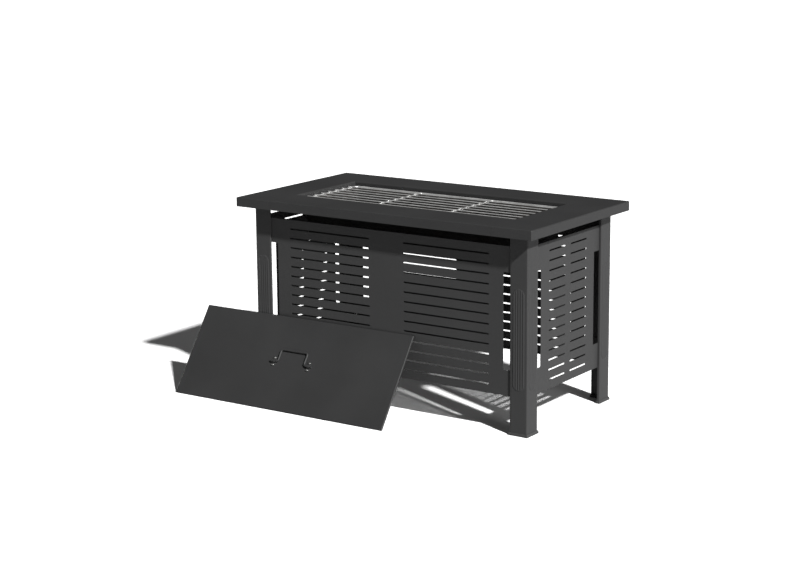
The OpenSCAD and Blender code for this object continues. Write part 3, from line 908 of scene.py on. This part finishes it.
def build_bowl():
    lo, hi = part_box("fire_bowl")
    cx, cy = (lo.x + hi.x) / 2, (lo.y + hi.y) / 2
    flange_x, flange_y = (hi.x - lo.x) / 2, (hi.y - lo.y) / 2
    wall_x, wall_y = flange_x - FLANGE_W, flange_y - FLANGE_W
    top, low = hi.z, lo.z
    t = BOWL_SHEET
    bend = RIM_BEND

    def wall(z):
        return -BOWL_DRAFT * (top - t - z) / (top - t - low)

    loops = []

    def add(dx, z, radius, base=(wall_x, wall_y)):
        loops.append(rounded_loop(base[0] + dx, base[1] + dx, max(1 * MM, radius), z, 8,
                                  (cx, cy)))

    # Inside, from the bottom up
    r = BOTTOM_R - t
    foot = low + t
    for k in range(7):
        w = math.radians(90 * k / 6)
        z = foot + r * (1 - math.cos(w))
        inset = wall(foot + r) - t - r * (1 - math.sin(w))
        add(inset, z, BOWL_R - t - r * (1 - math.sin(w)) + r * CORNER_GAIN)
    for k in range(1, 6):
        z = foot + r + (top - bend - foot - r) * k / 5
        add(wall(z) - t, z, BOWL_R - t)
    # Over the bend and out along the flange
    for k in range(1, 6):
        w = math.radians(90 * k / 5)
        add(-t + bend * (1 - math.cos(w)), top - bend * (1 - math.sin(w)), BOWL_R)
    edge = FLANGE_EDGE
    add(-edge, top, FLANGE_R, (flange_x, flange_y))
    add(0, top - edge, FLANGE_R, (flange_x, flange_y))
    add(0, top - t + edge, FLANGE_R, (flange_x, flange_y))
    add(-edge, top - t, FLANGE_R, (flange_x, flange_y))
    # Outside, from the flange down
    inner_bend = bend - t
    for k in range(5, -1, -1):
        w = math.radians(90 * k / 5)
        add(inner_bend * (1 - math.cos(w)), top - t - inner_bend * (1 - math.sin(w)),
            BOWL_R + t * 0.5)
    for k in range(4, -1, -1):
        z = low + BOTTOM_R + (top - t - inner_bend - low - BOTTOM_R) * k / 5
        add(wall(z), z, BOWL_R)
    for k in range(5, -1, -1):
        w = math.radians(90 * k / 6)
        z = low + BOTTOM_R * (1 - math.cos(w))
        add(wall(low + BOTTOM_R) - BOTTOM_R * (1 - math.sin(w)), z,
            BOWL_R - BOTTOM_R * (1 - math.sin(w)) + BOTTOM_R * CORNER_GAIN)
    bm = bmesh.new()
    skin(bm, loops)
    finish_piece("drawn_bowl", bm, "fire_bowl", ["fire_bowl"], "heat_paint", 50)


build_bowl()

# ---- grate -----------------------------------------------------------------------

FRAME_WIRE = 6 * MM
BRACE_WIRE = 5 * MM
ROD_WIRE = 4 * MM
GRATE_R = 12 * MM
BRACE_X = 132 * MM
WELD_SINK = 0.4 * MM
BRACE_BEAD = Vector((3.4, 1.6, 2.3)) * MM
BRACE_BEAD_DROP = 0.3 * MM
BRACE_BEAD_IN = 0.9
LOOP_BEAD = Vector((1.6, 3.0, 3.0)) * MM * 0.99
LOOP_BEAD_AT = 0.4
ROD_BEAD = Vector((2.3, 2.5, 0.9)) * MM
ROD_BEAD_RISE = 0.1 * MM


def weld_bead(bm, center, size):
    """Low rounded bead of weld where two wires cross."""
    rows, sides = 6, 12
    loops = []
    for i in range(1, rows):
        w = math.pi * i / rows
        loops.append([Vector(center) + Vector((size.x * math.sin(w) * math.cos(a),
                                               size.y * math.sin(w) * math.sin(a),
                                               -size.z * math.cos(w)))
                      for a in (2 * math.pi * k / sides for k in range(sides))])
    skin(bm, loops)


def build_grate():
    lo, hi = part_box("grate_frame")
    cx, cy, cz = (lo.x + hi.x) / 2, (lo.y + hi.y) / 2, (lo.z + hi.z) / 2
    r = FRAME_WIRE / 2
    mid_x, mid_y = (hi.x - lo.x) / 2 - r, (hi.y - lo.y) / 2 - r
    bm = bmesh.new()
    loop = rounded_loop(mid_x, mid_y, GRATE_R, cz, 10, (cx, cy))
    tube(bm, loop, r, 20, closed=True)
    for s in (-1, 1):
        x = cx + s * BRACE_X
        ends = mid_y - WELD_SINK
        path = [(x, cy - ends + 2 * ends * k / 4, cz) for k in range(5)]
        tube(bm, path, BRACE_WIRE / 2, 18)
        for e in (-1, 1):
            weld_bead(bm, (x, cy + e * (mid_y - r * BRACE_BEAD_IN), cz - BRACE_BEAD_DROP),
                      BRACE_BEAD)
    # The loop's own butt weld, on the back wire
    weld_bead(bm, (cx + mid_x * LOOP_BEAD_AT, cy + mid_y, cz), LOOP_BEAD)
    finish_piece("grate_frame_wire", bm, "grate", ["grate_frame"], "bright_wire", 60)

    bm = bmesh.new()
    for b_lo, b_hi in islands("grate_rods"):
        y, z = (b_lo.y + b_hi.y) / 2, (b_lo.z + b_hi.z) / 2
        path = [(b_lo.x + (b_hi.x - b_lo.x) * k / 12, y, z) for k in range(13)]
        tube(bm, path, ROD_WIRE / 2, 16)
        for x in (cx - mid_x, cx - BRACE_X, cx + BRACE_X, cx + mid_x):
            weld_bead(bm, (x, y, z - ROD_WIRE / 2 + ROD_BEAD_RISE), ROD_BEAD)
    finish_piece("grate_rod_wires", bm, "grate", ["grate_rods"], "bright_wire", 60)


build_grate()

# ---- lid handle and its clips ----------------------------------------------------

LID_X = Vector(joints["handle_swing"]["axis"]).normalized()
LID_Z = Vector(joints["lid_pull"]["axis"]).normalized()
LID_Y = LID_Z.cross(LID_X)
PIVOT = Vector(joints["handle_swing"]["pos_m"])
HANDLE = Matrix.Translation(PIVOT) @ Matrix((LID_X, LID_Y, LID_Z)).transposed().to_4x4()
WIRE = 6 * MM
WIRE_LIFT = 1 * MM
PIVOT_H = WIRE / 2 + WIRE_LIFT
ARM_X = 50 * MM
END_X = 78 * MM
END_LEAD = 6 * MM
GRIP_MID = 20 * MM
REACH = 40.5 * MM
ELBOW_R = 8 * MM
GRIP_R = 7 * MM
CLIP_X = 66 * MM
CLIP_W = 14 * MM
CLIP_T = 1.5 * MM
CLIP_FOOT = 15 * MM
CLIP_PLAY = 0.08 * MM
CLIP_BEND = 1.3 * MM
CLIP_FLAT = 2.2 * MM
CLIP_SOFT = 0.35 * MM


def build_handle():
    half = [Vector((END_X, 0, 0)), Vector((END_X - END_LEAD, 0, 0))]
    half += arc((ARM_X + ELBOW_R, ELBOW_R, 0), ELBOW_R, 270, 180, 10)
    half.append(Vector((ARM_X, (ELBOW_R + REACH - GRIP_R) / 2, 0)))
    half += arc((ARM_X - GRIP_R, REACH - GRIP_R, 0), GRIP_R, 0, 90, 10)
    half.append(Vector((GRIP_MID, REACH, 0)))
    other = [Vector((-p.x, p.y, p.z)) for p in reversed(half)]
    bm = bmesh.new()
    tube(bm, [HANDLE @ p for p in half + other], WIRE / 2, 20)
    # Painted shade: the handle takes the darker copy of the coat
    finish_piece("bail_handle", bm, "lid_handle", ["lid_handle"], "powder_coat", 60,
                 SHADED_TOP_COAT)


def build_clip(node, side):
    """Saddle clip: a strip that follows the lid, rises over the wire and comes down."""
    inner = WIRE / 2 + CLIP_PLAY
    mid_r = inner + CLIP_T / 2
    seat = -PIVOT_H + CLIP_T / 2
    line = [Vector((0, -CLIP_FOOT, seat)), Vector((0, -mid_r - CLIP_FLAT, seat))]
    line += arc((0, -mid_r - CLIP_BEND, seat + CLIP_BEND), CLIP_BEND, 270, 360, 5, "yz")
    line += arc((0, 0, 0), mid_r, 180, 0, 16, "yz")
    line += arc((0, mid_r + CLIP_BEND, seat + CLIP_BEND), CLIP_BEND, 180, 270, 5, "yz")
    line += [Vector((0, mid_r + CLIP_FLAT, seat)), Vector((0, CLIP_FOOT, seat))]
    bm = bmesh.new()
    loops = []
    n = len(line)
    half_w, half_t, soft = CLIP_W / 2, CLIP_T / 2, CLIP_SOFT
    for i, p in enumerate(line):
        t = (line[min(i + 1, n - 1)] - line[max(i - 1, 0)]).normalized()
        out = Vector((0, -t.z, t.y))
        section = []
        for sx, so, start in ((1, 1, 0), (-1, 1, 90), (-1, -1, 180), (1, -1, 270)):
            for k in range(4):
                w = math.radians(start + 30 * k)
                a = sx * (half_w - soft) + soft * math.cos(w)
                b = so * (half_t - soft) + soft * math.sin(w)
                section.append(HANDLE @ (p + Vector((side * CLIP_X + a, 0, 0)) + out * b))
        loops.append(section)
    skin(bm, loops)
    # Painted shade: the clips take the darker copy of the coat
    finish_piece(node.replace("handle_clip", "saddle_clip"), bm, "lid", [node],
                 "powder_coat", 45, SHADED_TOP_COAT)


CLIP_SCREW_R = 2 * MM
CLIP_HEAD_R = 3.4 * MM
CLIP_HEAD_H = 2 * MM
CLIP_THREAD = 0.7 * MM
CLIP_THREAD_DEPTH = 0.3 * MM
# How much further each screw is turned than its neighbour, across and up the lid
SCREW_TURN = Vector((0.6 / CLIP_X, 40))


def build_clip_screws():
    bm = bmesh.new()
    for lo, hi in islands("clip_screws", HANDLE):
        mid = (lo + hi) / 2
        place = HANDLE @ Matrix.Translation((mid.x, mid.y, 0))
        base = hi.z - CLIP_HEAD_H
        turn = Matrix.Rotation(SCREW_TURN.dot(mid.xy), 4, "Z")
        screw_head(bm, place @ turn, CLIP_HEAD_R, CLIP_HEAD_H, base)
        threaded_rod(bm, place, CLIP_SCREW_R, lo.z, base + ROD_SINK, CLIP_THREAD,
                     CLIP_THREAD_DEPTH)
    finish_piece("clip_screws_cross", bm, "lid", ["clip_screws"], "bright_screw", 40)


build_handle()
build_clip("handle_clip_left", -1)
build_clip("handle_clip_right", 1)
build_clip_screws()
build_nuts("clip_nuts_hex", "clip_nuts", CLIP_SCREW_R, "lid", HANDLE)

# ---- finish of the CAD nodes that stay -------------------------------------------

# Width of the rounded edges in millimetres, by how a node's name starts
EDGE_ROUND = {"tabletop": 0.4, "seam_plate": 0.4, "foot_cap": 0.8, "panel": 0.3,
              "lid_plate": 0.4}
WELD_REACH = 0.01 * MM
FLAT_ANGLE = math.radians(0.5)
SHARP_ANGLE = math.radians(40)


def soften(obj, width):
    """Joins the imported faces and rounds the sharp edges a little."""
    weld = obj.modifiers.new("weld", "WELD")
    weld.merge_threshold = WELD_REACH
    flat = obj.modifiers.new("flat", "DECIMATE")
    flat.decimate_type = "DISSOLVE"
    flat.angle_limit = FLAT_ANGLE
    edge = obj.modifiers.new("edge", "BEVEL")
    edge.width = width
    edge.segments = 2
    edge.limit_method = "ANGLE"
    edge.angle_limit = SHARP_ANGLE
    edge.harden_normals = False
    edge.use_clamp_overlap = True
    even = obj.modifiers.new("even", "WEIGHTED_NORMAL")
    even.keep_sharp = False


for name, obj in nodes.items():
    look = LOOKS[SLOT_OF[name]]
    # Painted shade: the tabletop and the lid plate take the darker copy of the coat
    if name.startswith("tabletop") or name == "lid_plate":
        look = SHADED_TOP_COAT
    obj.data.materials.clear()
    obj.data.materials.append(look)
    for start, width in EDGE_ROUND.items():
        if name.startswith(start) and not obj.hide_render:
            soften(obj, width * MM)
